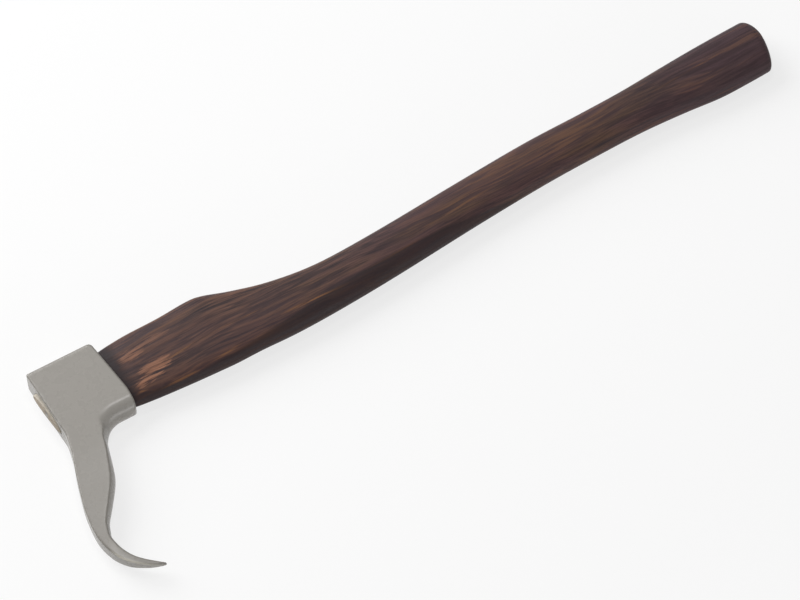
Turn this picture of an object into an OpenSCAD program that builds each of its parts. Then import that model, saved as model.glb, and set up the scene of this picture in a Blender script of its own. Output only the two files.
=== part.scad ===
// Log pick: a forged steel head with one curved pick, hung on a curved hickory haft.
// The tool lies on its side. X runs from the head to the butt, Y towards the poll, Z up.
// The origin is on the underside cheek, straight below the middle of the eye.

/* [Head] */
// Thickness of the head between its two flat cheeks
head_thick = 23; // [21:0.5:27]
// Depth of the collar from the flat poll to the rounded chin
head_depth = 61.4; // [59:0.2:68]
// Length of the collar along the middle of the eye
head_len = 54.8; // [50:0.2:64]
// Lean of the collar's top face off square, in degrees
top_lean = 3; // [0:0.5:6]
// Lean of the collar's mouth off square, in degrees
mouth_lean = 7.6; // [4:0.1:10]
// Overhang of the chin at the mouth, past the middle of the eye
chin_overhang = 1.8; // [1:0.1:3]
// Radius of the corner between poll and mouth
poll_corner_r = 4.5; // [2:0.5:6]
// Rounding along the sharp edges of the head
edge_r = 1; // [0.5:0.1:1.5]

/* [Pick] */
// Reach of the point below the chin
pick_reach = 115; // [100:1:125]
// How far the back of the pick bows out past the collar's top corner
pick_bow = 17.6; // [14:0.2:21]
// Width of the shank below the chin
shank_w = 28; // [25:0.5:31]
// Radius of the hollow between the chin and the shank
hollow_r = 18.5; // [14:0.5:22]
// Width of the point in side view
point_w = 1.3; // [1:0.1:2]
// Thickness of the point
point_thick = 2.8; // [2:0.1:4]

/* [Eye and wedges] */
// Length of the oval eye at the collar's mouth, where the haft enters
eye_mouth_len = 51.6; // [48:0.1:53]
// Width of the oval eye at the mouth
eye_mouth_w = 16.8; // [15:0.1:17.4]
// Length of the oval eye at the top face
eye_top_len = 36; // [35:0.5:42]
// Width of the oval eye at the top face
eye_top_w = 13; // [12.4:0.1:14.5]
// Gap all round between the wood and the eye
eye_fit = 0.1; // [0.05:0.05:0.2]
// Height of the haft's end above the collar's top face
haft_proud = 2; // [1.5:0.1:3]
// Thickness of the wooden wedge at its wide end
wedge_thick = 4.2; // [3:0.1:5]
// Width of the wooden wedge, along the eye
wedge_w = 32; // [26:0.5:33]
// Length of the wooden wedge, into the haft
wedge_len = 40; // [32:1:46]
// Thickness of the steel wedge at its wide end
steel_thick = 3.4; // [2.5:0.1:4]
// Width of the steel wedge, across the eye
steel_w = 9.5; // [8:0.1:10]
// Length of the steel wedge, into the haft
steel_len = 24; // [18:1:28]
// Gap on each face of a wedge
wedge_fit = 0.1; // [0.05:0.05:0.2]

/* [Haft] */
// Distance from the middle of the eye to the crown of the butt
haft_reach = 579; // [500:1:640]
// Depth of the haft over its shoulder
shoulder_depth = 59.8; // [57:0.2:62]
// Thickness of the haft over its shoulder
shoulder_thick = 20.5; // [19:0.5:22]
// Depth of the haft along the grip
grip_depth = 36; // [33:0.2:40]
// Thickness of the haft along the grip
grip_thick = 22; // [20:0.5:24]
// How far the haft bows towards the pick below its shoulder
haft_bow = 9.7; // [6:0.1:12]
// How far the butt sits back towards the poll
butt_back = 9; // [4:0.1:12]
// Depth of the knob at the butt
knob_depth = 45.4; // [42:0.2:50]
// Thickness of the knob at the butt
knob_thick = 25; // [23:0.5:27]
// Height of the domed end of the butt
butt_dome = 7.5; // [3:0.5:9]

/* [Hidden] */
$fn = 64;

mid_z = head_thick / 2;
poll_y = head_depth / 2;
chin_y = -head_depth / 2;
chin_axis_y = chin_y + mid_z;

// Where the collar's two leaning faces lie at a given y; the mouth is square over the chin
function top_x(y) = -head_len / 2 - y * tan(top_lean);
function mouth_x(y) = min(head_len / 2 - y * tan(mouth_lean), mouth_end_x);
mouth_end_x = head_len / 2 + chin_overhang;

// A smooth curve through rows of numbers, each column on its own
function spline_at(a, b, c, d, t) =
    0.5 * (2 * b + (c - a) * t + (2 * a - 5 * b + 4 * c - d) * t * t
        + (3 * b - a - 3 * c + d) * t * t * t);
function spline(rows, steps) = let (last = len(rows) - 1) [
    for (i = [0 : last - 1], s = [0 : steps - 1])
        spline_at(rows[max(i - 1, 0)], rows[i], rows[i + 1], rows[min(i + 2, last)], s / steps),
    rows[last]
];

// A closed skin over rings that all have the same number of points
module skin(rings) {
    n = len(rings[0]);
    last = len(rings) - 1;
    sides = [
        for (r = [0 : last - 1], i = [0 : n - 1])
            let (a = r * n + i, b = r * n + (i + 1) % n)
                each [[a, b, b + n], [a, b + n, a + n]]
    ];
    caps = [[for (i = [n - 1 : -1 : 0]) i], [for (i = [0 : n - 1]) last * n + i]];
    polyhedron(points = [for (ring = rings) each ring], faces = concat(sides, caps));
}

// An oval ring across the haft: square is 2 for an ellipse and more for flatter sides
ring_points = 40;
function power_of(v, p) = sign(v) * pow(abs(v), p);
function oval_ring(x, mid_y, depth, thick, square) = [
    for (i = [0 : ring_points - 1])
        let (a = -360 * i / ring_points)
            [x, mid_y + depth / 2 * power_of(cos(a), 2 / square),
                mid_z + thick / 2 * power_of(sin(a), 2 / square)]
];

// The eye tapers from the mouth to the top face; grow is what is added all round
eye_square = 2.3;
function eye_share(x) = (x + head_len / 2) / head_len;
function eye_len(x) = eye_top_len + (eye_mouth_len - eye_top_len) * eye_share(x);
function eye_w(x) = eye_top_w + (eye_mouth_w - eye_top_w) * eye_share(x);
function eye_ring(x, grow) =
    oval_ring(x, 0, eye_len(x) + 2 * grow, eye_w(x) + 2 * grow, eye_square);

// The collar seen from the side: leaning top face, leaning mouth that turns square at the chin
turn_r = 12;
turn_y = -chin_overhang / tan(mouth_lean) - turn_r * tan(mouth_lean / 2);
chin_corner_r = 4.6;
module collar_side() {
    hull() {
        translate([top_x(poll_y) + edge_r, poll_y - edge_r])
            circle(r = edge_r);
        translate([mouth_x(poll_y) - poll_corner_r, poll_y - poll_corner_r])
            circle(r = poll_corner_r);
        translate([mouth_end_x - turn_r, turn_y])
            circle(r = turn_r);
        translate([mouth_end_x - chin_corner_r, chin_y + chin_corner_r])
            circle(r = chin_corner_r);
        translate([top_x(chin_y) + edge_r, chin_y + edge_r])
            circle(r = edge_r);
    }
}

// The collar seen from its end: flat cheeks, flat poll with softer edges and a half-round chin
poll_edge_r = 2;
module collar_end() {
    hull() {
        translate([chin_axis_y, mid_z])
            circle(r = mid_z);
        for (z = [poll_edge_r, head_thick - poll_edge_r])
            translate([poll_y - poll_edge_r, z])
                circle(r = poll_edge_r);
    }
}

module collar() {
    intersection() {
        linear_extrude(height = head_thick)
            collar_side();
        translate([-head_len, 0, 0])
            rotate([90, 0, 90])
                linear_extrude(height = 2 * head_len)
                    collar_end();
    }
}

// The sections of the pick below the chin, down to the point. Each row holds the bow and the drop
// of the section's outer edge and its width, all as shares of the sizes above, its lean in
// degrees, its thickness as a share, and the crown of its inner face by its width
pick_rows = [
    [0.09, 0.02, 0.97, -19, 0.985, 0.08],
    [0.195, 0.09, 0.95, -12.5, 0.955, 0.065],
    [0.305, 0.145, 0.96, -9, 0.92, 0.07],
    [0.45, 0.21, 0.98, -8.5, 0.87, 0.095],
    [0.66, 0.32, 0.95, -8.5, 0.785, 0.12],
    [0.86, 0.44, 0.71, -16, 0.7, 0.13],
    [0.96, 0.54, 0.48, -20, 0.63, 0.15],
    [1, 0.62, 0.38, -12, 0.59, 0.16],
    [0.98, 0.68, 0.3, -2.5, 0.57, 0.13],
    [0.88, 0.75, 0.27, 16, 0.54, 0.12],
    [0.68, 0.825, 0.25, 36, 0.47, 0.13],
    [0.32, 0.895, 0.19, 49, 0.38, 0.12],
    [-0.07, 0.94, 0.14, 58, 0.26, 0.13],
    [-0.48, 0.977, 0.1, 70, 0.13, 0.13],
    [-0.9, 1, 0, 63, 0, 0.15]
];
root_step = 0.05;
root_thick = head_thick - 2 * root_step;

// What the inner face is like across the section: half-round, or crowned between two arrises
half_round = 1;
arris = 2;
function pick_section(row) =
    let (width = point_w + row[2] * (shank_w - point_w))
        [top_x(chin_y) - row[0] * pick_bow, chin_y - row[1] * pick_reach, width, row[3],
            (point_thick + row[4] * (root_thick - point_thick)) / 2, row[5] * width, arris];

// The sections of the hollow between the chin and the shank fan round its centre, from one that
// lies square in the chin to one that leans into the shank. On the way they widen, and in the
// middle of the turn their half-round inner face soon flattens into a crowned one
hollow_turn = 60;
hollow_inset = 5;
hollow_x = top_x(chin_y) + shank_w - hollow_inset + hollow_r;
root_w = 20;
root_widening = 9.2;
root_flattening = 8.4;
round_until = 25;
crowned_from = 52;
function flattened(turn) =
    let (s = max(0, min(1, (turn - round_until) / (crowned_from - round_until))))
        s * s * (3 - 2 * s);
function hollow_section(turn) =
    let (
        width = root_w + root_widening * turn / hollow_turn,
        inner = [hollow_x - hollow_r * sin(turn), chin_y - hollow_r * (1 - cos(turn))]
    )
        [inner[0] - width * sin(turn), inner[1] + width * cos(turn), width, turn - 90,
            root_thick / 2, root_thick / 2 - root_flattening * flattened(turn),
            half_round + (arris - half_round) * flattened(turn)];

sections = [
    for (turn = [0 : 7.5 : hollow_turn]) hollow_section(turn),
    for (row = pick_rows) pick_section(row)
];

// One ring round the pick at a section: outer edge at x and y, width, lean, half thickness, crown
// of the inner face, and what that face is like
corner_steps = 5;
outer_share = 0.15;
function pick_ring(section) =
    let (
        width = section[2],
        across = [cos(section[3]), sin(section[3])],
        half = section[4],
        out_r = min(edge_r, outer_share * width),
        upper = [
            for (i = [0 : corner_steps])
                let (a = 90 * i / corner_steps)
                    [out_r - out_r * cos(a), half - out_r + out_r * sin(a)],
            for (i = [corner_steps : -1 : 1])
                let (a = 90 * i / corner_steps)
                    [width - section[5] * (1 - pow(cos(a), section[6])), half * sin(a)]
        ],
        lower = [for (i = [len(upper) - 1 : -1 : 0]) [upper[i][0], -upper[i][1]]],
        outline = [each upper, [width, 0], each lower]
    )
    [for (p = outline)
        [section[0] + across[0] * p[0], section[1] + across[1] * p[0], mid_z + p[1]]];

module head() {
    color("#9d9993")
        difference() {
            union() {
                collar();
                skin([for (section = spline(sections, 4)) pick_ring(section)]);
            }
            skin([eye_ring(-head_len, 0), eye_ring(head_len, 0)]);
        }
}

// Places along the haft: past the mouth, along the grip as a share, and back from the butt
function past_mouth(d) = head_len / 2 + d;
function along_grip(share) = past_mouth(132) + share * (from_butt(115) - past_mouth(132));
function from_butt(d) = haft_reach - d;

// The haft's lines: x, middle, depth, thickness and squareness of each oval section
haft_rows = [
    [past_mouth(6), 0, eye_len(past_mouth(6)) - 2 * eye_fit,
        eye_w(past_mouth(6)) - 2 * eye_fit, eye_square],
    [past_mouth(22), -0.01 * haft_bow, shoulder_depth - 4.1, shoulder_thick - 2, 2.4],
    [past_mouth(48), -0.07 * haft_bow, shoulder_depth - 2.5, shoulder_thick - 0.8, 2.7],
    [past_mouth(72), -0.04 * haft_bow, shoulder_depth, shoulder_thick, 2.8],
    [past_mouth(84), -0.13 * haft_bow, shoulder_depth - 1.1, shoulder_thick, 2.8],
    [past_mouth(104), -0.46 * haft_bow, shoulder_depth - 8.2, shoulder_thick + 0.5, 2.7],
    [along_grip(0), -0.86 * haft_bow, grip_depth + 9, grip_thick, 2.5],
    [along_grip(0.12), -haft_bow, grip_depth + 3.5, grip_thick, 2.4],
    [along_grip(0.28), -0.72 * haft_bow, grip_depth + 1.7, grip_thick, 2.3],
    [along_grip(0.52), -0.05 * haft_bow, grip_depth + 0.5, grip_thick, 2.2],
    [along_grip(0.72), 0.46 * butt_back, grip_depth, grip_thick, 2.2],
    [along_grip(0.88), 0.63 * butt_back, grip_depth - 0.7, grip_thick, 2.2],
    [from_butt(115), 0.74 * butt_back, grip_depth + 0.1, grip_thick + 0.6, 2.2],
    [from_butt(80), 0.81 * butt_back, knob_depth - 5.1, grip_thick + 2, 2.2],
    [from_butt(50), 0.81 * butt_back, knob_depth - 0.7, knob_thick, 2.2],
    [from_butt(25), 0.91 * butt_back, knob_depth, knob_thick, 2.2],
    [from_butt(butt_dome), butt_back, knob_depth - 0.2, knob_thick, 2.2]
];

// The butt is domed along its depth and only eased along its thickness, with its crown a little
// towards the back, and it leans so that its belly side ends first
dome_steps = 6;
dome_angle = 80;
dome_cut = 0.76;
dome_ease = 8;
dome_shift = 2.5;
dome_lean = 2.5;
butt_row = haft_rows[len(haft_rows) - 1];
butt_rings = [
    for (i = [1 : dome_steps])
        let (
            a = dome_angle * i / dome_steps,
            cut = 1 - cos(a),
            ring = oval_ring(butt_row[0] + butt_dome * sin(a), butt_row[1] + dome_shift * cut,
                butt_row[2] * (1 - dome_cut * cut), butt_row[3] - dome_ease * cut, butt_row[4])
        )
            [for (p = ring)
                [p[0] + (p[1] - butt_row[1]) * tan(dome_lean) * sin(a), p[1], p[2]]]
];

// The haft's end stands a little proud of the eye, with its edge rounded
proud_x = top_x(0) - haft_proud;
proud_round = 1.2;

module haft_blank() {
    skin([
        for (a = [0 : 30 : 90])
            eye_ring(proud_x + proud_round * (1 - cos(a)), -eye_fit - proud_round * (1 - sin(a))),
        for (row = spline(haft_rows, 3)) oval_ring(row[0], row[1], row[2], row[3], row[4]),
        each butt_rings
    ]);
}

// A wedge outline with its wide end at x = 0 and its edge at x = length
module wedge_outline(thick, length, edge, grow) {
    polygon([
        [-grow, -thick / 2 - grow],
        [length + grow, -edge / 2 - grow],
        [length + grow, edge / 2 + grow],
        [-grow, thick / 2 + grow]
    ]);
}

// The wooden wedge lies along the eye, in the saw kerf
wedge_edge = 1;
module wood_wedge_body(grow, width) {
    translate([proud_x, width / 2, mid_z])
        rotate([90, 0, 0])
            linear_extrude(height = width)
                wedge_outline(wedge_thick, wedge_len, wedge_edge, grow);
}

// The steel wedge is driven across the wooden one
steel_edge = 0.8;
module steel_wedge_body(grow) {
    translate([proud_x, 0, mid_z - steel_w / 2 - grow])
        linear_extrude(height = steel_w + 2 * grow)
            wedge_outline(steel_thick, steel_len, steel_edge, grow);
}

module haft() {
    color("#4b3430")
        difference() {
            haft_blank();
            wood_wedge_body(wedge_fit, eye_mouth_len);
            steel_wedge_body(wedge_fit);
        }
}

module wood_wedge() {
    color("#c9a26b")
        difference() {
            wood_wedge_body(0, wedge_w);
            steel_wedge_body(wedge_fit);
        }
}

module steel_wedge() {
    color("#6b6660")
        steel_wedge_body(0);
}

head();
haft();
wood_wedge();
steel_wedge();
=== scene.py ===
import math

import bmesh
import bpy
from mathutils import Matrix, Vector


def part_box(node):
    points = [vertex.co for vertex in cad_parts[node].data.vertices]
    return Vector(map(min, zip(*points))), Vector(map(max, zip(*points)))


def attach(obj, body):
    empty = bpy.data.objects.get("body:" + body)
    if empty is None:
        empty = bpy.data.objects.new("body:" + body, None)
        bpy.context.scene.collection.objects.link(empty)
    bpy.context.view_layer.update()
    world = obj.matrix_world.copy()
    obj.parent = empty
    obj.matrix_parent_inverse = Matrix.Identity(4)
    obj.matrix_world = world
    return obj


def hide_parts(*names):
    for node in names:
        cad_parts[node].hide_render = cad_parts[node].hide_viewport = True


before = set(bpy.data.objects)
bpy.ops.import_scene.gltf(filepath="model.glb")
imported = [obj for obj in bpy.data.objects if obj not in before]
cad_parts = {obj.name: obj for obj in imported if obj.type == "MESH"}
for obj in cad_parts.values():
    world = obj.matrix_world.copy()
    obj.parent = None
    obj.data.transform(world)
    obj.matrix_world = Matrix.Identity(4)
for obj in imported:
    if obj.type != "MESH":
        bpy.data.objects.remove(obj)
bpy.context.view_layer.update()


# Head. One drop forging of carbon steel: a collar with flat cheeks round an oval eye, and a long
# pick that leaves the collar's chin in a round hollow and curves to a blunt point. It is ground
# on its cheeks and sprayed with warm grey satin paint. The wedged haft holds it.
MM = 0.001
HEAD_THICK = 23.0
HEAD_DEPTH = 61.4
HEAD_LEN = 54.8
TOP_LEAN = math.radians(3.0)
MOUTH_LEAN = math.radians(7.6)
CHIN_OVERHANG = 1.8
EDGE_R = 1.0
POLL_CORNER_R = 4.5
POLL_EDGE_R = 2.0
MOUTH_TURN_R = 12.0
CHIN_CORNER_R = 4.6
EYE_TOP = (36.0, 13.0)
EYE_MOUTH = (51.6, 16.8)
EYE_SQUARE = 2.3

MID_Z = HEAD_THICK / 2
POLL_Y = HEAD_DEPTH / 2
CHIN_Y = -HEAD_DEPTH / 2
MOUTH_END_X = HEAD_LEN / 2 + CHIN_OVERHANG


def top_x(y):
    """Where the collar's leaning top face lies at height y."""
    return -HEAD_LEN / 2 - y * math.tan(TOP_LEAN)


def rounded_outline(circles, step=6.0):
    """The points of a band drawn tight round circles given as (x, y, radius), anticlockwise."""
    leave = []
    for (x0, y0, r0), (x1, y1, r1) in zip(circles, circles[1:] + circles[:1]):
        along = math.atan2(y1 - y0, x1 - x0)
        leave.append(along - math.acos((r0 - r1) / math.hypot(x1 - x0, y1 - y0)))
    points = []
    for i, (x, y, r) in enumerate(circles):
        start, end = leave[i - 1], leave[i]
        turn = (end - start) % (2 * math.pi)
        count = max(1, round(math.degrees(turn) / step))
        for k in range(count + 1):
            a = start + turn * k / count
            points.append((x + r * math.cos(a), y + r * math.sin(a)))
    return points


def solid_object(name, bm):
    """A new object in the scene from a bmesh in millimetres, normals outwards, in metres."""
    bmesh.ops.remove_doubles(bm, verts=bm.verts, dist=0.001)
    bmesh.ops.recalc_face_normals(bm, faces=bm.faces)
    bmesh.ops.scale(bm, vec=(MM, MM, MM), verts=bm.verts)
    mesh = bpy.data.meshes.new(name)
    bm.to_mesh(mesh)
    bm.free()
    piece = bpy.data.objects.new(name, mesh)
    bpy.context.scene.collection.objects.link(piece)
    return piece


def plate(name, points, depth):
    """A closed outline of 3-D points, extruded by the vector depth."""
    bm = bmesh.new()
    face = bmesh.ops.contextual_create(bm, geom=[bm.verts.new(p) for p in points])["faces"][0]
    grown = bmesh.ops.extrude_face_region(bm, geom=[face], use_keep_orig=True)["geom"]
    far_side = [g for g in grown if isinstance(g, bmesh.types.BMVert)]
    bmesh.ops.translate(bm, vec=depth, verts=far_side)
    return solid_object(name, bm)


def loft(name, rings):
    """A closed solid through rings of points, bridged one to the next and capped at both ends."""
    bm = bmesh.new()
    loops = []
    for ring in rings:
        verts = [bm.verts.new(p) for p in ring]
        loops.append([bm.edges.new(pair) for pair in zip(verts, verts[1:] + verts[:1])])
    for near, far in zip(loops, loops[1:]):
        bmesh.ops.bridge_loops(bm, edges=near + far)
    for loop in (loops[0], loops[-1]):
        bmesh.ops.contextual_create(bm, geom=loop)
    return solid_object(name, bm)


def baked(piece):
    """Takes in the piece's modifiers, so that its mesh is what they make of it."""
    depsgraph = bpy.context.evaluated_depsgraph_get()
    mesh = bpy.data.meshes.new_from_object(piece.evaluated_get(depsgraph), depsgraph=depsgraph)
    piece.modifiers.clear()
    piece.data = mesh
    return piece


def combined(piece, other, operation):
    """Cuts, joins or intersects the piece with another solid, which is used up."""
    modifier = piece.modifiers.new(operation.lower(), "BOOLEAN")
    modifier.object = other
    modifier.operation = operation
    modifier.solver = "EXACT"
    baked(piece)
    bpy.data.objects.remove(other)
    return piece


def spline(rows, steps):
    """A smooth curve through rows of numbers, each column on its own."""
    made = []
    for i in range(len(rows) - 1):
        a, b = rows[max(i - 1, 0)], rows[i]
        c, d = rows[i + 1], rows[min(i + 2, len(rows) - 1)]
        for k in range(steps):
            t = k / steps
            made.append([
                0.5 * (2 * q + (r - p) * t + (2 * p - 5 * q + 4 * r - s) * t * t
                       + (3 * q - p - 3 * r + s) * t ** 3)
                for p, q, r, s in zip(a, b, c, d)
            ])
    made.append(list(rows[-1]))
    return made


def oval_ring(x, mid_y, depth, thick, square, count=64):
    """An oval across the haft or the eye; square is 2 for an ellipse, more for flatter sides."""
    ring = []
    for i in range(count):
        a = 2 * math.pi * i / count
        across, up = math.cos(a), math.sin(a)
        y = math.copysign(abs(across) ** (2 / square), across)
        z = math.copysign(abs(up) ** (2 / square), up)
        ring.append((x, mid_y + depth / 2 * y, MID_Z + thick / 2 * z))
    return ring


def eye_size(x):
    """Length and width of the tapered eye at x."""
    share = (x + HEAD_LEN / 2) / HEAD_LEN
    return [top + (mouth - top) * share for top, mouth in zip(EYE_TOP, EYE_MOUTH)]


def eye_ring(x, grow):
    """The eye's oval at x, larger by grow all round."""
    length, width = eye_size(x)
    return oval_ring(x, 0, length + 2 * grow, width + 2 * grow, EYE_SQUARE)


def collar():
    """The collar: its side outline and its end outline, each extruded, and what they share."""
    turn_y = -CHIN_OVERHANG / math.tan(MOUTH_LEAN) - MOUTH_TURN_R * math.tan(MOUTH_LEAN / 2)
    poll_mouth_x = HEAD_LEN / 2 - POLL_Y * math.tan(MOUTH_LEAN)
    side = rounded_outline([
        (top_x(CHIN_Y) + EDGE_R, CHIN_Y + EDGE_R, EDGE_R),
        (MOUTH_END_X - CHIN_CORNER_R, CHIN_Y + CHIN_CORNER_R, CHIN_CORNER_R),
        (MOUTH_END_X - MOUTH_TURN_R, turn_y, MOUTH_TURN_R),
        (poll_mouth_x - POLL_CORNER_R, POLL_Y - POLL_CORNER_R, POLL_CORNER_R),
        (top_x(POLL_Y) + EDGE_R, POLL_Y - EDGE_R, EDGE_R),
    ])
    end = rounded_outline([
        (CHIN_Y + MID_Z, MID_Z, MID_Z),
        (POLL_Y - POLL_EDGE_R, POLL_EDGE_R, POLL_EDGE_R),
        (POLL_Y - POLL_EDGE_R, HEAD_THICK - POLL_EDGE_R, POLL_EDGE_R),
    ])
    body = plate("collar", [(x, y, 0) for x, y in side], (0, 0, HEAD_THICK))
    end_x = -HEAD_LEN
    through = plate("collar_end", [(end_x, y, z) for y, z in end], (2 * HEAD_LEN, 0, 0))
    return combined(body, through, "INTERSECT")


# The pick below the chin. Each row: bow and drop of the section's outer edge and its width, as
# shares of the sizes here, its lean in degrees, its thickness as a share, and the crown of its
# inner face by its width.
PICK_REACH = 115.0
PICK_BOW = 17.6
SHANK_WIDTH = 28.0
POINT_WIDTH = 1.3
POINT_THICK = 2.8
ROOT_THICK = HEAD_THICK - 0.1
PICK_ROWS = [
    (0.09, 0.02, 0.97, -19, 0.985, 0.08),
    (0.195, 0.09, 0.95, -12.5, 0.955, 0.065),
    (0.305, 0.145, 0.96, -9, 0.92, 0.07),
    (0.45, 0.21, 0.98, -8.5, 0.87, 0.095),
    (0.66, 0.32, 0.95, -8.5, 0.785, 0.12),
    (0.86, 0.44, 0.71, -16, 0.7, 0.13),
    (0.96, 0.54, 0.48, -20, 0.63, 0.15),
    (1, 0.62, 0.38, -12, 0.59, 0.16),
    (0.98, 0.68, 0.3, -2.5, 0.57, 0.13),
    (0.88, 0.75, 0.27, 16, 0.54, 0.12),
    (0.68, 0.825, 0.25, 36, 0.47, 0.13),
    (0.32, 0.895, 0.19, 49, 0.38, 0.12),
    (-0.07, 0.94, 0.14, 58, 0.26, 0.13),
    (-0.48, 0.977, 0.1, 70, 0.13, 0.13),
    (-0.9, 1, 0, 63, 0, 0.15),
]

# The hollow between chin and shank, from where the pick's root lies deep in the collar. Up there
# its outer edge is flush with the collar's top face. The shank starts a little short of its width.
HOLLOW_R = 18.5
HOLLOW_TURN = 60.0
HOLLOW_SECTIONS = 8
HOLLOW_SHORT = 5.0
HOLLOW_X = top_x(CHIN_Y) + SHANK_WIDTH - HOLLOW_SHORT + HOLLOW_R
ROOT_DEEP = 10.0
FLUSH = 0.05
FLUSH_UNTIL_Y = -24.0

# The inner face is half-round in the chin, flattens on the way round, and is crowned between two
# arrises from there on. The outer edge is sharp at the root and rounder down the shank.
HALF_ROUND = 1.0
ARRIS = 2.0
ROUND_UNTIL = 25.0
CROWNED_FROM = 52.0
ROOT_FLATTENING = 8.4
SHARP_UNTIL_Y = -25.0
ROUND_FROM_Y = -55.0
SHARPEST = 0.35
EDGE_SHARE = 0.15


def hollow_section(turn):
    """A section of the hollow between chin and shank; the sections fan round its centre.

    It reaches from the centre to a level deep in the collar, or else to the collar's top face.
    """
    a = math.radians(turn)
    to_top = HOLLOW_X - top_x(CHIN_Y - HOLLOW_R) - FLUSH
    reach = min((HOLLOW_R + ROOT_DEEP - CHIN_Y) / math.cos(a),
                to_top / max(math.sin(a) - math.cos(a) * math.tan(TOP_LEAN), 0.1))
    x = HOLLOW_X - reach * math.sin(a)
    y = CHIN_Y - HOLLOW_R + reach * math.cos(a)
    s = max(0.0, min(1.0, (turn - ROUND_UNTIL) / (CROWNED_FROM - ROUND_UNTIL)))
    flattened = s * s * (3 - 2 * s)
    crown = ROOT_THICK / 2 - ROOT_FLATTENING * flattened
    kind = HALF_ROUND + (ARRIS - HALF_ROUND) * flattened
    return x, y, reach - HOLLOW_R, turn - 90, ROOT_THICK / 2, crown, kind


def pick_section(row):
    """A section of the pick below the chin, from one of its rows."""
    bow, drop, share, lean, thickness, crown = row
    width = POINT_WIDTH + share * (SHANK_WIDTH - POINT_WIDTH)
    half = (POINT_THICK + thickness * (ROOT_THICK - POINT_THICK)) / 2
    x, y = top_x(CHIN_Y) - bow * PICK_BOW, CHIN_Y - drop * PICK_REACH
    return x, y, width, lean, half, crown * width, ARRIS


def pick_ring(section, steps=10):
    """The ring round a section: rounded outer edges, flat sides and the crowned inner face."""
    x, y, width, lean, half, crown, kind = section
    rounding = (SHARP_UNTIL_Y - y) / (SHARP_UNTIL_Y - ROUND_FROM_Y)
    edge = EDGE_R * max(SHARPEST, min(1.0, rounding, EDGE_SHARE * width / EDGE_R))
    quarter = [math.pi / 2 * i / steps for i in range(steps + 1)]
    upper = [(edge - edge * math.cos(a), half - edge + edge * math.sin(a)) for a in quarter]
    upper += [(width - crown * (1 - max(math.cos(a), 0) ** kind), half * math.sin(a))
              for a in reversed(quarter[1:])]
    outline = upper + [(width, 0)] + [(u, -v) for u, v in reversed(upper)]
    cos, sin = math.cos(math.radians(lean)), math.sin(math.radians(lean))
    ring = [(x + cos * u, y + sin * u, MID_Z + v) for u, v in outline]
    return [(max(px, top_x(py) + FLUSH) if py > FLUSH_UNTIL_Y else px, py, pz)
            for px, py, pz in ring]


sections = [hollow_section(HOLLOW_TURN * i / HOLLOW_SECTIONS) for i in range(HOLLOW_SECTIONS + 1)]
sections += [pick_section(row) for row in PICK_ROWS]
pick = loft("pick", [pick_ring(section) for section in spline(sections, 8)])
head = combined(collar(), pick, "UNION")

# The tapered eye's long facets are a little twisted, and each could be filled in two ways where it
# is cut. So they are split first, always along the same diagonal, and every run gives one bore.
eye = loft("eye", [eye_ring(x, 0) for x in (-HEAD_LEN, HEAD_LEN)])
facets = eye.modifiers.new("flat_facets", "TRIANGULATE")
facets.quad_method = "FIXED"
head = combined(head, eye, "DIFFERENCE")
head.name = "forged_head"

VOXEL = 0.55 * MM
remesh = head.modifiers.new("skin", "REMESH")
remesh.mode = "VOXEL"
remesh.voxel_size = VOXEL
baked(head)

# The forging's edges are a little soft, and the thin point is eased less. It is softest in the
# valley where the chin runs into the shank, where the collar's top turns into the pick's back and
# at the chin's corner; the rims of the cheeks up to the collar's top stay crisp. Each zone: x, y
# and radius.
SOFT_ZONES = [
    (7.0, -25.0, 13.0),
    (top_x(CHIN_Y) + 2, CHIN_Y, 9.0),
    (MOUTH_END_X - 1.5, CHIN_Y + 1.5, 5.0),
]
CRISP_RIM = 2.2 * MM
POINT_END = (-10.0 * MM, -145.0 * MM)
BLUNT = 3.0 * MM
POINT_ZONE_Y = (CHIN_Y - 0.85 * PICK_REACH) * MM


def is_soft(place):
    """Whether a place on the head lies where its edges are softest."""
    by_cheek = abs(place.z - MID_Z * MM) > MID_Z * MM - CRISP_RIM
    if by_cheek and place.x < top_x(place.y / MM) * MM + 2 * CRISP_RIM:
        return False
    return any(math.dist(place.xy, (x * MM, y * MM)) < r * MM for x, y, r in SOFT_ZONES)


EASINGS = [
    (1, lambda place: True),
    (2, lambda place: math.dist(place.xy, POINT_END) > BLUNT),
    (4, lambda place: place.y > POINT_ZONE_Y),
    (9, is_soft),
]
bm = bmesh.new()
bm.from_mesh(head.data)
for times, is_eased in EASINGS:
    for _ in range(times):
        bmesh.ops.smooth_vert(bm, verts=[v for v in bm.verts if is_eased(v.co)], factor=0.5,
                              use_axis_x=True, use_axis_y=True, use_axis_z=True)
for face in bm.faces:
    face.smooth = True
bm.to_mesh(head.data)
bm.free()


def srgb(red, green, blue):
    """A colour as picked in 0 to 255, turned into what a shader takes."""
    def linear(c):
        c /= 255
        return c / 12.92 if c <= 0.04045 else ((c + 0.055) / 1.055) ** 2.4
    return linear(red), linear(green), linear(blue), 1.0


def add_node(tree, kind, values, **settings):
    """Adds a node to a tree with its settings and its input values or links."""
    node = tree.nodes.new(kind)
    for key, value in settings.items():
        setattr(node, key, value)
    for key, value in values.items():
        if isinstance(value, bpy.types.NodeSocket):
            tree.links.new(value, node.inputs[key])
        else:
            node.inputs[key].default_value = value
    return node


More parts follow.
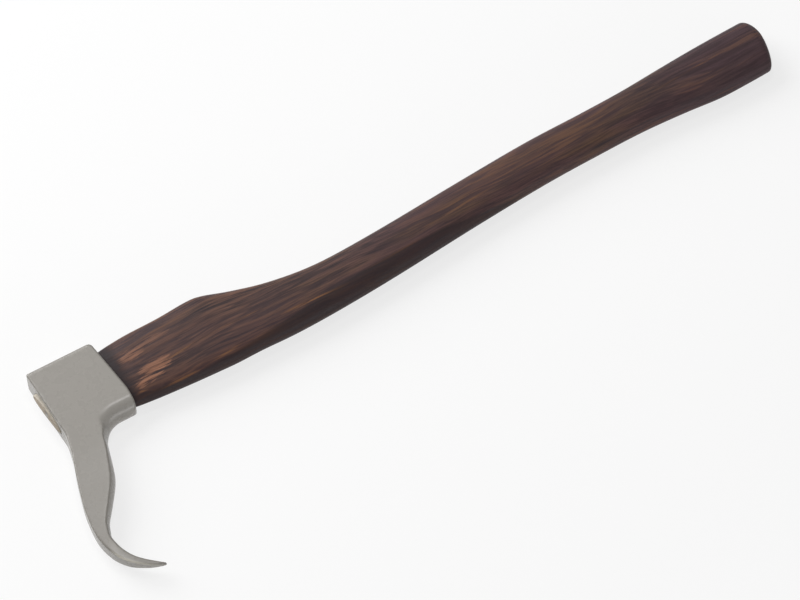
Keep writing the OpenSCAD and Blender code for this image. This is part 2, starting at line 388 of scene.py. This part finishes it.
class Finish:
    """A material whose nodes are added one by one; a value may be another node's output."""

    def __init__(self, name, **constants):
        self.material = bpy.data.materials.new(name)
        self.material.use_nodes = True
        self.tree = self.material.node_tree
        self.tree.nodes.clear()
        self.shader = self.add("ShaderNodeBsdfPrincipled", constants)
        self.output = self.add("ShaderNodeOutputMaterial", {"Surface": self.shader.outputs[0]})
        self.place = self.add("ShaderNodeTexCoord", {}).outputs["Object"]

    def add(self, kind, values, **settings):
        return add_node(self.tree, kind, values, **settings)

    def math(self, operation, a, b=0.0):
        """One step of arithmetic."""
        return self.add("ShaderNodeMath", {0: a, 1: b}, operation=operation).outputs[0]

    def stretched(self, scale):
        """The place on the piece, scaled by a Mapping node."""
        return self.add("ShaderNodeMapping", {"Vector": self.place, "Scale": scale}).outputs[0]

    def distance(self, place, centre):
        """How far a place lies from a centre."""
        return self.add("ShaderNodeVectorMath", {0: place, 1: centre},
                        operation="DISTANCE").outputs["Value"]

    def noise(self, vector, scale=1.0, detail=3.0, roughness=0.5, distortion=0.0):
        """A noise pattern between 0 and 1."""
        return self.add("ShaderNodeTexNoise", {
            "Vector": vector, "Scale": scale, "Detail": detail, "Roughness": roughness,
            "Distortion": distortion}).outputs["Fac"]

    def between(self, value, low, high, to_low=0.0, to_high=1.0):
        """A smooth step of a value from one range to another."""
        return self.add("ShaderNodeMapRange", {
            "Value": value, "From Min": low, "From Max": high, "To Min": to_low,
            "To Max": to_high}, interpolation_type="SMOOTHSTEP").outputs[0]

    def mixed(self, share, a, b):
        """Two colours mixed by a share."""
        return self.add("ShaderNodeMix", {0: share, 6: a, 7: b}, data_type="RGBA").outputs[2]

    def bumped(self, *layers):
        """Bumps the surface by (height, distance in millimetres) layers, one over the other."""
        normal = None
        for height, distance in layers:
            values = {"Height": height, "Distance": distance * MM}
            if normal:
                values["Normal"] = normal
            normal = self.add("ShaderNodeBump", values).outputs[0]
        self.tree.links.new(normal, self.shader.inputs["Normal"])

    def coloured(self, colour):
        self.tree.links.new(colour, self.shader.inputs["Base Color"])

    def roughened(self, roughness):
        self.tree.links.new(roughness, self.shader.inputs["Roughness"])


def coat(piece, material):
    """Gives a piece its one material."""
    piece.data.materials.clear()
    piece.data.materials.append(material)


# Painted shade darkens the paint along the sharp edges, and a painted highlight makes a pale line
# on the outer edge of the hook's last stretch, away from the middle of its bend.
HOOK_BEND = (4.6 * MM, -104.1 * MM, 0)
HIGHLIGHT_FROM_BEND = (43.6 * MM, 45.2 * MM)
HIGHLIGHT_DOWN = (-116 * MM, -128 * MM)


def grey_paint():
    """Warm grey satin paint over ground steel: clouding, orange peel, painted edge shade and
    highlight.
    """
    paint = Finish("grey_paint", **{"Specular IOR Level": 0.5})
    clouds = paint.noise(paint.stretched((18, 18, 18)), detail=4.0)
    fine = paint.noise(paint.stretched((150, 150, 150)), detail=3.0)
    shade = paint.math("ADD", paint.math("MULTIPLY", clouds, 0.7),
                       paint.math("MULTIPLY", fine, 0.3))
    colour = paint.mixed(paint.between(shade, 0.3, 0.7), srgb(145, 141, 135),
                         srgb(147, 143, 137))
    # Painted shade: the sharper the edge, the darker its paint.
    convex = paint.add("ShaderNodeNewGeometry", {}).outputs["Pointiness"]
    edge = paint.between(convex, 0.506, 0.524, 0.0, 0.75)
    down = paint.add("ShaderNodeSeparateXYZ", {"Vector": paint.place}).outputs[1]
    outward = paint.distance(paint.stretched((1, 1, 0)), HOOK_BEND)
    # Painted highlight: the edge turns pale on the hook's outer side, near its point and away from
    # its bend.
    painted_highlight = paint.math("MULTIPLY", paint.between(down, *HIGHLIGHT_DOWN),
                          paint.between(outward, *HIGHLIGHT_FROM_BEND))
    edge_shade_and_highlight = paint.mixed(painted_highlight, srgb(116, 112, 105), srgb(196, 191, 178))
    paint.coloured(paint.mixed(edge, colour, edge_shade_and_highlight))
    paint.roughened(paint.between(fine, 0.2, 0.8, 0.265, 0.285))
    peel = paint.noise(paint.stretched((420, 420, 420)), detail=2.0)
    paint.bumped((peel, 0.006), (clouds, 0.03))
    return paint.material


coat(head, grey_paint())
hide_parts("head")
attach(head, "root")


# Haft. One piece of hickory, turned and shaped to an oval that swells at the shoulder, bows
# towards the pick and flares into a knob. It is stained dark brown and oiled to a satin sheen;
# its end was sawn for the wedge, and cut off bare above the eye after the head was wedged on.
HAFT_REACH = 579.0
SHOULDER = (59.8, 20.5)
GRIP = (36.0, 22.0)
KNOB = (45.4, 25.0)
HAFT_BOW = 9.7
BUTT_BACK = 9.0
BUTT_DOME = 7.5
EYE_FIT = 0.1
HAFT_PROUD = 1.5
PROUD_ROUND = 0.7
CUT_LEAN = math.tan(math.radians(6.0))
PROUD_X = top_x(0) - HAFT_PROUD
END_STEPS = 6
MOUTH_X = HEAD_LEN / 2
GRIP_START = MOUTH_X + 132
GRIP_END = HAFT_REACH - 115


def along_grip(share):
    """The x at a share of the grip's length."""
    return GRIP_START + share * (GRIP_END - GRIP_START)


def eye_tongue(x):
    """Depth and thickness of the tongue that fills the eye, at x."""
    return [size - 2 * EYE_FIT for size in eye_size(x)]


# Each row: x, middle, depth, thickness and squareness of the haft's section.
HAFT_ROWS = [
    (MOUTH_X + 6, 0, *eye_tongue(MOUTH_X + 6), EYE_SQUARE),
    (MOUTH_X + 22, -0.01 * HAFT_BOW, SHOULDER[0] - 4.1, SHOULDER[1] - 2, 2.4),
    (MOUTH_X + 48, -0.07 * HAFT_BOW, SHOULDER[0] - 2.5, SHOULDER[1] - 0.8, 2.7),
    (MOUTH_X + 72, -0.04 * HAFT_BOW, SHOULDER[0], SHOULDER[1], 2.8),
    (MOUTH_X + 84, -0.13 * HAFT_BOW, SHOULDER[0] - 1.1, SHOULDER[1], 2.8),
    (MOUTH_X + 104, -0.46 * HAFT_BOW, SHOULDER[0] - 8.2, SHOULDER[1] + 0.5, 2.7),
    (along_grip(0), -0.86 * HAFT_BOW, GRIP[0] + 9, GRIP[1], 2.5),
    (along_grip(0.12), -HAFT_BOW, GRIP[0] + 3.5, GRIP[1], 2.4),
    (along_grip(0.28), -0.72 * HAFT_BOW, GRIP[0] + 1.7, GRIP[1], 2.3),
    (along_grip(0.52), -0.05 * HAFT_BOW, GRIP[0] + 0.5, GRIP[1], 2.2),
    (along_grip(0.72), 0.46 * BUTT_BACK, GRIP[0], GRIP[1], 2.2),
    (along_grip(0.88), 0.63 * BUTT_BACK, GRIP[0] - 0.7, GRIP[1], 2.2),
    (GRIP_END, 0.74 * BUTT_BACK, GRIP[0] + 0.1, GRIP[1] + 0.6, 2.2),
    (HAFT_REACH - 80, 0.81 * BUTT_BACK, KNOB[0] - 5.1, GRIP[1] + 2, 2.2),
    (HAFT_REACH - 50, 0.81 * BUTT_BACK, KNOB[0] - 0.7, KNOB[1], 2.2),
    (HAFT_REACH - 25, 0.91 * BUTT_BACK, KNOB[0], KNOB[1], 2.2),
    (HAFT_REACH - BUTT_DOME, BUTT_BACK, KNOB[0] - 0.2, KNOB[1], 2.2),
]
DOME_ANGLE = math.radians(80.0)
DOME_CUT = 0.76
DOME_EASE = 8.0
DOME_SHIFT = 2.5
DOME_LEAN = math.radians(2.5)
DOME_STEPS = 10


def end_ring(turn):
    """A ring of the haft's proud end, from its face at turn 0 round the soft edge to its side."""
    ring = eye_ring(PROUD_X + PROUD_ROUND * (1 - math.cos(turn)),
                    -EYE_FIT - PROUD_ROUND * (1 - math.sin(turn)))
    return [(x - y * CUT_LEAN, y, z) for x, y, z in ring]


def dome_ring(turn):
    """A ring of the domed butt, which leans so that its belly side ends first."""
    x, mid, depth, thick, square = HAFT_ROWS[-1]
    cut = 1 - math.cos(turn)
    ring = oval_ring(x + BUTT_DOME * math.sin(turn), mid + DOME_SHIFT * cut,
                     depth * (1 - DOME_CUT * cut), thick - DOME_EASE * cut, square)
    lean = math.tan(DOME_LEAN) * math.sin(turn)
    return [(px + (py - mid) * lean, py, pz) for px, py, pz in ring]


haft_rings = [end_ring(math.pi / 2 * i / END_STEPS) for i in range(END_STEPS + 1)]
haft_rings += [oval_ring(*row) for row in spline(HAFT_ROWS, 6)]
haft_rings += [dome_ring(DOME_ANGLE * (i + 1) / DOME_STEPS) for i in range(DOME_STEPS)]
haft = loft("hickory_haft", haft_rings)

# The seats in its end: the saw kerf for the wooden wedge, and the split that the steel wedge makes
# across it. Both wedges follow below, in the same sizes.
WEDGE_LEN = 40.0
WEDGE_WIDTH = 32.0
WEDGE_THICK = 4.2
WEDGE_EDGE = 1.0
STEEL_LEN = 24.0
STEEL_WIDTH = 9.5
STEEL_THICK = 3.4
STEEL_EDGE = 0.8
WEDGE_FIT = 0.1


def wedge_block(size, edge, grow=0.0, bevel=0.0):
    """A wedge from a cube: length, width and thickness along X, Y and Z, thinned to its edge."""
    length, width, thick = size
    bm = bmesh.new()
    bmesh.ops.create_cube(bm, size=1.0)
    bmesh.ops.translate(bm, vec=(0.5, 0, 0), verts=bm.verts)
    bmesh.ops.scale(bm, vec=(length, width, thick), verts=bm.verts)
    thin = [v for v in bm.verts if v.co.x > length / 2]
    bmesh.ops.scale(bm, vec=(1, 1, edge / thick), verts=thin)
    for v in bm.verts:
        v.co += Vector(math.copysign(grow, c) for c in v.co - Vector((length / 2, 0, 0)))
    if bevel:
        bmesh.ops.bevel(bm, geom=bm.edges, offset=bevel, affect="EDGES", segments=3,
                        profile=0.5, material=-1)
    return bm


def seated(name, bm):
    """A wedge put in the middle of the haft's end and leaning with its cut."""
    for v in bm.verts:
        v.co.x -= v.co.y * CUT_LEAN
    bmesh.ops.translate(bm, vec=(PROUD_X, 0, MID_Z), verts=bm.verts)
    return solid_object(name, bm)


def wood_wedge_solid(name, grow=0.0, bevel=0.0):
    """The wooden wedge, or its seat where it is grown by the fit."""
    size = (WEDGE_LEN, WEDGE_WIDTH, WEDGE_THICK)
    return seated(name, wedge_block(size, WEDGE_EDGE, grow, bevel))


def steel_wedge_solid(name, grow=0.0, bevel=0.0):
    """The steel wedge, across the wooden one, or its seat where it is grown by the fit."""
    bm = wedge_block((STEEL_LEN, STEEL_WIDTH, STEEL_THICK), STEEL_EDGE, grow, bevel)
    for v in bm.verts:
        v.co.y, v.co.z = v.co.z, v.co.y
    return seated(name, bm)


def sharpened(piece):
    """Smooth shading that keeps edges over 38 degrees sharp."""
    piece.data.shade_smooth()
    piece.data.set_sharp_from_angle(angle=math.radians(38))


combined(haft, wood_wedge_solid("kerf", WEDGE_FIT), "DIFFERENCE")
combined(haft, steel_wedge_solid("steel_seat", WEDGE_FIT), "DIFFERENCE")
sharpened(haft)

# How the stain has taken on the broad faces: pale streaks along the grain, each from a start to
# an end in millimetres along and across the haft, with its width and strength.
PALE_STREAKS = [
    ((31, -18), (50, -24.3), 1.2, 0.8),
    ((46, -24.3), (86, -25.7), 1.2, 0.8),
    ((80, -25.8), (122, -22), 1.3, 0.8),
    ((58, -8.4), (112, -5), 1.3, 1.0),
    ((98, -5), (152, -7), 1.0, 0.7),
    ((150, -17), (212, -18.8), 1.5, 0.9),
    ((212, -17), (275, -12.5), 1.2, 0.4),
    ((262, -7), (345, -1.5), 1.4, 0.4),
    ((478, 8), (556, 13), 1.2, 0.4),
]
# Spots where it has worn through near the collar: middle, half length, half width, turn, strength.
WORN_SPOTS = [
    ((51, -13), 17, 4.8, math.radians(14), 1.0),
    ((54, -6.5), 14, 3.2, math.radians(5), 0.75),
    ((43, 8), 12, 5.0, math.radians(9), 0.6),
    ((62, 12), 16, 3.0, math.radians(3), 0.35),
]
# The upper edge of the belly's band of stain and painted shade, in millimetres along and across
# the haft.
BELLY_BAND = [(28, -19), (50, -23.5), (71, -26.5), (95, -26), (130, -24.5), (156, -22),
              (190, -18.5), (220, -15.5), (250, -14), (285, -13.5), (325, -15), (380, -15),
              (430, -13), (500, -14), (579, -16)]
BAND_SPAN = 100
GRAIN_SWAY = 24
STREAK_SWAY = 4
RING_GAP = 3.1
RING_SWAY = 12
PITH_ASIDE = 12
PITH_BELOW = 62
PITH_LEAN = 0.055
BARE_UNTIL_X = -HEAD_LEN / 2 + 2.6


def stained_hickory():
    """Dark brown stain over hickory: streaks, worn spots, stain and painted shade on the belly and
    by the collar, a bare end.
    """
    wood = Finish("stained_hickory", **{"Specular IOR Level": 0.2})
    split = wood.add("ShaderNodeSeparateXYZ", {"Vector": wood.place}).outputs
    x, y, z = split[0], split[1], split[2]

    def product(*factors):
        """Several values multiplied."""
        total = factors[0]
        for factor in factors[1:]:
            total = wood.math("MULTIPLY", total, factor)
        return total

    def strongest(masks):
        """The largest of several masks."""
        total = masks[0]
        for mask in masks[1:]:
            total = wood.math("MAXIMUM", total, mask)
        return total

    # The grain sways a little across the haft, and every pattern along it follows.
    warp = wood.noise(wood.stretched((6, 22, 22)), detail=2.0)
    off_warp = wood.math("SUBTRACT", warp, 0.5)
    aside = wood.add("ShaderNodeCombineXYZ", {"Y": product(off_warp, GRAIN_SWAY * MM)}).outputs[0]
    wood.place = wood.add("ShaderNodeVectorMath", {0: wood.place, 1: aside},
                          operation="ADD").outputs[0]

    def grain(along, across, low, high, **kinds):
        """Noise drawn out along the grain, as a share from 0 to 1."""
        noise = wood.noise(wood.stretched((along, across, across)), **kinds)
        return wood.between(noise, low, high)

    fine = grain(26, 520, 0.38, 0.62, detail=3.0, roughness=0.6)
    hair = grain(50, 1250, 0.36, 0.64, detail=2.0)
    broad = grain(9, 150, 0.34, 0.66, detail=3.0, distortion=0.4)
    clouds = grain(6, 34, 0.35, 0.65, detail=2.0)
    hues = grain(11, 75, 0.38, 0.62, detail=2.0)
    fibres = grain(38, 1900, 0.58, 0.72, detail=3.0)

    # Growth rings round a pith line that runs off below the haft and leans against it.
    pith_y = wood.math("ADD", product(x, PITH_LEAN), PITH_ASIDE * MM)
    off_y = wood.math("SUBTRACT", y, pith_y)
    off_z = wood.math("ADD", z, PITH_BELOW * MM)
    away = wood.math("SQRT", wood.math("ADD", product(off_y, off_y), product(off_z, off_z)))
    wavy = wood.math("ADD", away, product(warp, RING_SWAY * MM))
    ring = wood.math("FRACT", product(wavy, 1 / (RING_GAP * MM)))
    late = product(wood.between(ring, 0.35, 0.8), wood.between(ring, 1.0, 0.9))

    # The stain: dark in the open grain, lighter and warmer at the shoulder, cooler at the knob.
    tone = product(fine, 0.42)
    for layer, share in ((hair, 0.2), (broad, 0.25), (late, 0.13)):
        tone = wood.math("ADD", tone, product(layer, share))
    tone = wood.between(tone, 0.02, 0.98)
    light_tone = wood.mixed(hues, srgb(87, 63, 60), srgb(92, 69, 52))
    by_shoulder = wood.between(x, 260 * MM, 130 * MM, 0.0, 0.6)
    light_tone = wood.mixed(by_shoulder, light_tone, srgb(116, 84, 67))
    by_knob = wood.between(x, 440 * MM, 560 * MM, 0.0, 0.6)
    light_tone = wood.mixed(by_knob, light_tone, srgb(76, 62, 72))
    colour = wood.mixed(tone, srgb(34, 23, 26), light_tone)
    colour = wood.mixed(product(clouds, 0.45), colour, srgb(66, 46, 50))

    def band(start, end, width, strength):
        """A mask along a line on the broad faces, fading at its ends and broken by the grain."""
        (x0, y0), (x1, y1) = [(a * MM, b * MM) for a, b in (start, end)]
        slope = (y1 - y0) / (x1 - x0)
        line = wood.math("ADD", product(x, slope), y0 - slope * x0)
        wandering = wood.math("ADD", y, product(off_warp, STREAK_SWAY * MM))
        off = wood.math("ABSOLUTE", wood.math("SUBTRACT", wandering, line))
        fade = (x1 - x0) * 0.3
        return product(wood.between(off, width * MM, 0.0), wood.between(x, x0, x0 + fade),
                       wood.between(x, x1, x1 - fade), strength)

    def spot(middle, half_length, half_width, turn, strength):
        """A mask over an oval spot, with its border drawn out along the grain."""
        off_x, off_y = [wood.math("SUBTRACT", value, c * MM) for value, c in zip((x, y), middle)]
        cos, sin = math.cos(turn), math.sin(turn)
        along = wood.math("ADD", product(off_x, cos), product(off_y, sin))
        across = wood.math("SUBTRACT", product(off_y, cos), product(off_x, sin))
        along = wood.math("DIVIDE", along, half_length * MM)
        across = wood.math("DIVIDE", across, half_width * MM)
        reach = wood.math("ADD", product(along, along), product(across, across))
        lines = wood.add("ShaderNodeCombineXYZ", {"X": along, "Y": product(across, 2.6)})
        worn_lines = wood.noise(lines.outputs[0], scale=1.5, detail=3.0)
        ragged = wood.math("SUBTRACT", reach, product(worn_lines, 2.4))
        return wood.between(ragged, -0.1, -0.8, 0.0, strength)

    streaks = strongest([band(*streak) for streak in PALE_STREAKS])
    streaks = product(streaks, wood.between(fine, -0.3, 0.9))
    flecks = product(wood.between(broad, 0.55, 0.95), wood.between(clouds, 0.5, 1.0), fine, 0.22)
    colour = wood.mixed(wood.math("MAXIMUM", streaks, flecks), colour, srgb(128, 88, 58))
    worn = product(strongest([spot(*values) for values in WORN_SPOTS]),
                   wood.between(tone, 0.0, 0.55))
    colour = wood.mixed(worn, colour, wood.mixed(fine, srgb(120, 82, 64), srgb(160, 114, 90)))

    # The belly is darker, partly from more stain and partly as painted shade on its side away from
    # the light. The wood next to the collar is darker from more stain and from painted shade under
    # the collar's rim. The shoulder and the knob took a little more stain.
    belly = wood.add("ShaderNodeFloatCurve", {"Value": wood.math("DIVIDE", x, HAFT_REACH * MM)})
    curve = belly.mapping.curves[0]
    for i, (along, across) in enumerate(BELLY_BAND):
        place = (along / HAFT_REACH, 0.5 + across / BAND_SPAN)
        if i in (0, len(BELLY_BAND) - 1):
            curve.points[-1 if i else 0].location = place
        else:
            curve.points.new(*place)
    belly.mapping.update()
    edge = product(wood.math("SUBTRACT", belly.outputs[0], 0.5), BAND_SPAN * MM)
    over = wood.math("SUBTRACT", y, edge)
    # Stain and painted shade: the belly band, the wood by the collar, the shoulder and the knob.
    stain_and_shade = strongest([wood.between(over, 1.2 * MM, -1.5 * MM, 0.0, 0.78),
                      wood.between(x, 41 * MM, 29 * MM, 0.0, 0.95),
                      wood.between(x, 200 * MM, 60 * MM, 0.0, 0.16),
                      wood.between(x, 430 * MM, 560 * MM, 0.0, 0.12)])
    colour = wood.mixed(stain_and_shade, colour, srgb(27, 17, 20))
    colour = wood.mixed(product(fibres, 0.45), colour, srgb(40, 29, 30))

    # The end above the eye is bare: pale on its sides, browner on the cut across the grain.
    from_cut = wood.math("ADD", x, product(y, CUT_LEAN))
    bare = wood.between(from_cut, BARE_UNTIL_X * MM, (BARE_UNTIL_X - 0.6) * MM)
    cut = wood.between(from_cut, (PROUD_X + 0.6) * MM, (PROUD_X + 0.1) * MM)
    dots = wood.noise(wood.stretched((60, 1300, 1300)), detail=2.0)
    end_colour = wood.mixed(wood.between(ring, 0.1, 0.9), srgb(156, 146, 131),
                            srgb(172, 163, 148))
    end_colour = wood.mixed(wood.between(dots, 0.56, 0.66), end_colour, srgb(140, 124, 107))
    end_colour = wood.mixed(cut, srgb(178, 171, 159), end_colour)
    wood.coloured(wood.mixed(bare, colour, end_colour))

    wood.roughened(wood.between(tone, 0.0, 1.0, 0.46, 0.58))
    wood.bumped((wood.math("SUBTRACT", 1.0, fibres), 0.05), (fine, 0.06), (broad, 0.1))
    return wood.material


coat(haft, stained_hickory())
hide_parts("haft")
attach(haft, "root")


# Wooden wedge. A flat tapered slip of pale hardwood, glued and driven into the saw kerf that
# runs along the eye, then cut off flush with the haft's end. The steel wedge splits its middle.
WEDGE_BEVEL = 0.25


def pale_wedge_wood():
    """Bare hardwood end grain, a little darkened by glue and oil."""
    wood = Finish("pale_wedge_wood", **{"Specular IOR Level": 0.4})
    lines = wood.noise(wood.stretched((20, 90, 900)), detail=4.0)
    dots = wood.noise(wood.stretched((80, 1400, 1400)), detail=2.0)
    colour = wood.mixed(wood.between(lines, 0.35, 0.65), srgb(146, 131, 114),
                        srgb(168, 155, 137))
    wood.coloured(wood.mixed(wood.between(dots, 0.55, 0.68), colour, srgb(132, 115, 97)))
    wood.roughened(wood.between(lines, 0.2, 0.8, 0.5, 0.7))
    wood.bumped((dots, 0.05))
    return wood.material


wood_wedge = wood_wedge_solid("driven_wood_wedge", bevel=WEDGE_BEVEL)
combined(wood_wedge, steel_wedge_solid("steel_slot", WEDGE_FIT), "DIFFERENCE")
sharpened(wood_wedge)
coat(wood_wedge, pale_wedge_wood())
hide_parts("wood_wedge")
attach(wood_wedge, "root")


# Steel wedge. A small tapered wedge of plain steel, driven across the wooden one to spread it
# and the haft's end, so that the haft can't leave the eye. It lies flush with the cut wood.
STEEL_BEVEL = 0.3


def dull_steel():
    """Plain steel, dulled and marked by the hammer."""
    steel = Finish("dull_steel", Metallic=1.0)
    marks = steel.noise(steel.stretched((300, 300, 300)), detail=4.0)
    fine = steel.noise(steel.stretched((1200, 300, 1200)), detail=3.0)
    steel.coloured(steel.mixed(steel.between(marks, 0.35, 0.65), srgb(112, 106, 100),
                               srgb(150, 146, 141)))
    steel.roughened(steel.between(fine, 0.2, 0.8, 0.35, 0.55))
    steel.bumped((marks, 0.08))
    return steel.material


steel_wedge = steel_wedge_solid("driven_steel_wedge", bevel=STEEL_BEVEL)
sharpened(steel_wedge)
coat(steel_wedge, dull_steel())
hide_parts("steel_wedge")
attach(steel_wedge, "root")


# Stage. A pale table that fades to a white background. The light is a large soft lamp behind the
# head, a low wide one in front of the tool, a small one high overhead and a weak sky.
TABLE_SIZE = 12.0
TABLE_MIDDLE = 0.25
TABLE_GAP = 0.0002
SKY = 0.19


def seen_share(tree):
    """1 for what the camera sees, straight or in a gloss or through glass, and 0 for light."""
    rays = add_node(tree, "ShaderNodeLightPath", {}).outputs
    seen = rays["Is Camera Ray"]
    for other in ("Is Glossy Ray", "Is Transmission Ray"):
        seen = add_node(tree, "ShaderNodeMath", {0: seen, 1: rays[other]},
                        operation="MAXIMUM").outputs[0]
    return seen


bm = bmesh.new()
bmesh.ops.create_grid(bm, x_segments=1, y_segments=1, size=TABLE_SIZE / 2)
lowest = min(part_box(name)[0].z for name in ("head", "haft"))
bmesh.ops.translate(bm, vec=(TABLE_MIDDLE, 0, lowest - TABLE_GAP), verts=bm.verts)
mesh = bpy.data.meshes.new("table_top")
bm.to_mesh(mesh)
bm.free()
table = bpy.data.objects.new("table_top", mesh)
bpy.context.scene.collection.objects.link(table)
white_table = Finish("white_table", **{"Base Color": (0.9, 0.9, 0.9, 1), "Roughness": 0.9,
                                       "Specular IOR Level": 0.0})
white = white_table.add("ShaderNodeEmission", {"Color": (1, 1, 1, 1), "Strength": 1.0})
outward = white_table.distance(white_table.place, (TABLE_MIDDLE, 0, 0))
whiteness = white_table.between(outward, 0.3, 0.9, 0.75, 1.0)
veil = white_table.add("ShaderNodeMixShader", {
    0: white_table.math("MULTIPLY", seen_share(white_table.tree), whiteness),
    1: white_table.shader.outputs[0], 2: white.outputs[0]})
white_table.tree.links.new(veil.outputs[0], white_table.output.inputs["Surface"])
table.data.materials.append(white_table.material)

world = bpy.data.worlds.new("studio")
bpy.context.scene.world = world
world.use_nodes = True
world.node_tree.nodes.clear()
strength = add_node(world.node_tree, "ShaderNodeMapRange",
                    {"Value": seen_share(world.node_tree), "To Min": SKY})
background = add_node(world.node_tree, "ShaderNodeBackground",
                      {"Color": (1, 1, 1, 1), "Strength": strength.outputs[0]})
add_node(world.node_tree, "ShaderNodeOutputWorld", {"Surface": background.outputs[0]})


def softbox(name, place, target, size, power):
    """An area lamp, wide and high as size says, that faces its target."""
    lamp = bpy.data.lights.new(name, "AREA")
    lamp.shape = "RECTANGLE"
    lamp.size, lamp.size_y = size
    lamp.energy = power
    holder = bpy.data.objects.new(name, lamp)
    bpy.context.scene.collection.objects.link(holder)
    holder.location = place
    holder.rotation_mode = "QUATERNION"
    holder.rotation_quaternion = (Vector(target) - Vector(place)).to_track_quat("-Z", "Y")


softbox("back_softbox", (-0.68, 1.66, 1.38), (0.15, 0, 0), (2.0, 2.0), 69.0)
softbox("front_softbox", (0.3, -1.9, 0.25), (0.1, 0, 0), (2.6, 0.7), 17.0)
softbox("top_softbox", (0.34, 0.23, 2.08), (0.02, 0, 0), (0.3, 0.3), 4.6)

# The camera stands where the photograph's did: high over the pick's side, with a long lens.
CAMERA_PLACE = Vector((-439.7, -1223.8, 2566.8)) * MM
CAMERA_AIM = Vector((235.6, -45.0, 11.5)) * MM
camera_data = bpy.data.cameras.new("camera")
camera_data.lens = 180.0
camera_data.sensor_width = 36.0
camera = bpy.data.objects.new("camera", camera_data)
bpy.context.scene.collection.objects.link(camera)
camera.location = CAMERA_PLACE
camera.rotation_mode = "QUATERNION"
camera.rotation_quaternion = (CAMERA_AIM - CAMERA_PLACE).to_track_quat("-Z", "Y")
bpy.context.scene.camera = camera
bpy.context.scene.view_settings.view_transform = "Standard"
